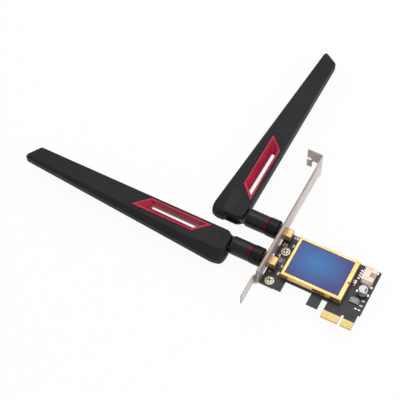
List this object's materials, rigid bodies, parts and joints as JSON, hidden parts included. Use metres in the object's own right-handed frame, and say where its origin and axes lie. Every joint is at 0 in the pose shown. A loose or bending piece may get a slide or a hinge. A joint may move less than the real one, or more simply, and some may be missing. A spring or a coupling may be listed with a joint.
{
  "type": "wireless network card",
  "caption": "Wireless network card for a one-lane slot: board with gold radio shield on a slotted bracket, and a pair of folding swivelling blade antennas with red funnel inserts.",
  "frame": {"origin": "Foot of the edge fingers, in the middle of the key notch, on the board's mid-plane.", "axes": "+X from the bracket to the far end of the board, +Y along the bracket towards its screw tab, +Z out of the component side."},
  "size_m": [0.2505, 0.2073, 0.0216],
  "materials": {
    "circuit_board": "satin black solder mask",
    "gold_plating": "gold-plated copper",
    "bracket_steel": "satin nickel-plated steel",
    "screw_steel": "zinc-plated steel",
    "jack_gold": "gold-plated brass",
    "insulator": "white fluoropolymer",
    "shield_gold": "satin gold-toned plated sheet",
    "fence_metal": "plated sheet",
    "label_blue": "plain printed label, blue",
    "chip_body": "moulded epoxy",
    "chip_grey": "moulded epoxy, laser-frosted top",
    "crystal_metal": "plated lid",
    "header_plastic": "moulded nylon, natural",
    "tinned_metal": "tinned copper alloy",
    "can_aluminium": "bright drawn aluminium",
    "base_plastic": "moulded black plastic",
    "ferrite": "pressed ferrite",
    "ceramic": "fired ceramic",
    "collar_plastic": "moulded black plastic, satin",
    "coupling_brass": "plated brass",
    "barrel_plastic": "moulded black plastic, satin",
    "ring_red": "dark red anodised look",
    "pin_steel": "blackened steel",
    "blade_plastic": "fine-textured black ABS",
    "insert_red": "red moulded plastic, satin",
    "radiator_board": "green laminate",
    "coax_jacket": "brown fluoropolymer jacket"
  },
  "bodies": {
    "card": {"pcb": "circuit_board", "edge_contacts": "gold_plating", "bracket": "bracket_steel", "bracket_screws": "screw_steel", "jack_body_1": "jack_gold", "jack_body_2": "jack_gold", "jack_insulator_1": "insulator", "jack_insulator_2": "insulator", "jack_pin_1": "gold_plating", "jack_pin_2": "gold_plating", "lock_washers": "jack_gold", "jack_nuts": "jack_gold", "shield_fence": "fence_metal", "shield_cover": "shield_gold", "shield_label": "label_blue", "radio_chip": "chip_body", "front_end_chips": "chip_body", "crystal": "crystal_metal", "header_housing": "header_plastic", "header_contacts": "tinned_metal", "header_tabs": "tinned_metal", "capacitor_base": "base_plastic", "capacitor_can": "can_aluminium", "capacitor_terminals": "tinned_metal", "power_inductor": "ferrite", "regulator_chip": "chip_grey", "regulator_leads": "tinned_metal", "chip_resistors": "chip_body", "chip_capacitors": "ceramic"},
    "collar_1": {"collar_1": "collar_plastic", "coupling_nut_1": "coupling_brass"},
    "barrel_1": {"barrel_1": "barrel_plastic", "accent_ring_1": "ring_red", "barrel_coax_1": "coax_jacket", "plug_shell_1": "coupling_brass", "plug_insulator_1": "insulator", "plug_contact_1": "gold_plating"},
    "blade_1": {"hinge_pin_1": "pin_steel", "blade_front_1": "blade_plastic", "blade_back_1": "blade_plastic", "blade_insert_1": "insert_red", "radiator_1": "radiator_board", "blade_coax_1": "coax_jacket"},
    "collar_2": {"collar_2": "collar_plastic", "coupling_nut_2": "coupling_brass"},
    "barrel_2": {"barrel_2": "barrel_plastic", "accent_ring_2": "ring_red", "barrel_coax_2": "coax_jacket", "plug_shell_2": "coupling_brass", "plug_insulator_2": "insulator", "plug_contact_2": "gold_plating"},
    "blade_2": {"hinge_pin_2": "pin_steel", "blade_front_2": "blade_plastic", "blade_back_2": "blade_plastic", "blade_insert_2": "insert_red", "radiator_2": "radiator_board", "blade_coax_2": "coax_jacket"}
  },
  "joints": [
    {"name": "collar_1_spin", "type": "hinge", "parent": "card", "child": "collar_1", "pos_m": [-0.06615, 0.04288, 0.00468], "axis": [1, 0, 0], "continuous": true},
    {"name": "barrel_1_swivel", "type": "hinge", "parent": "card", "child": "barrel_1", "pos_m": [-0.07695, 0.04288, 0.00468], "axis": [1, 0, 0], "range_deg": [-140, 140]},
    {"name": "blade_1_tilt", "type": "hinge", "parent": "barrel_1", "child": "blade_1", "pos_m": [-0.0925, 0.04288, 0.00468], "axis": [0, 0, 1], "range_deg": [0, 90]},
    {"name": "collar_2_spin", "type": "hinge", "parent": "card", "child": "collar_2", "pos_m": [-0.06615, 0.01932, 0.00468], "axis": [1, 0, 0], "continuous": true},
    {"name": "barrel_2_swivel", "type": "hinge", "parent": "card", "child": "barrel_2", "pos_m": [-0.07695, 0.01932, 0.00468], "axis": [1, 0, 0], "range_deg": [-140, 140]},
    {"name": "blade_2_tilt", "type": "hinge", "parent": "barrel_2", "child": "blade_2", "pos_m": [-0.0925, 0.01932, 0.00468], "axis": [0, 0, 1], "range_deg": [-30, 0]}
  ]
}
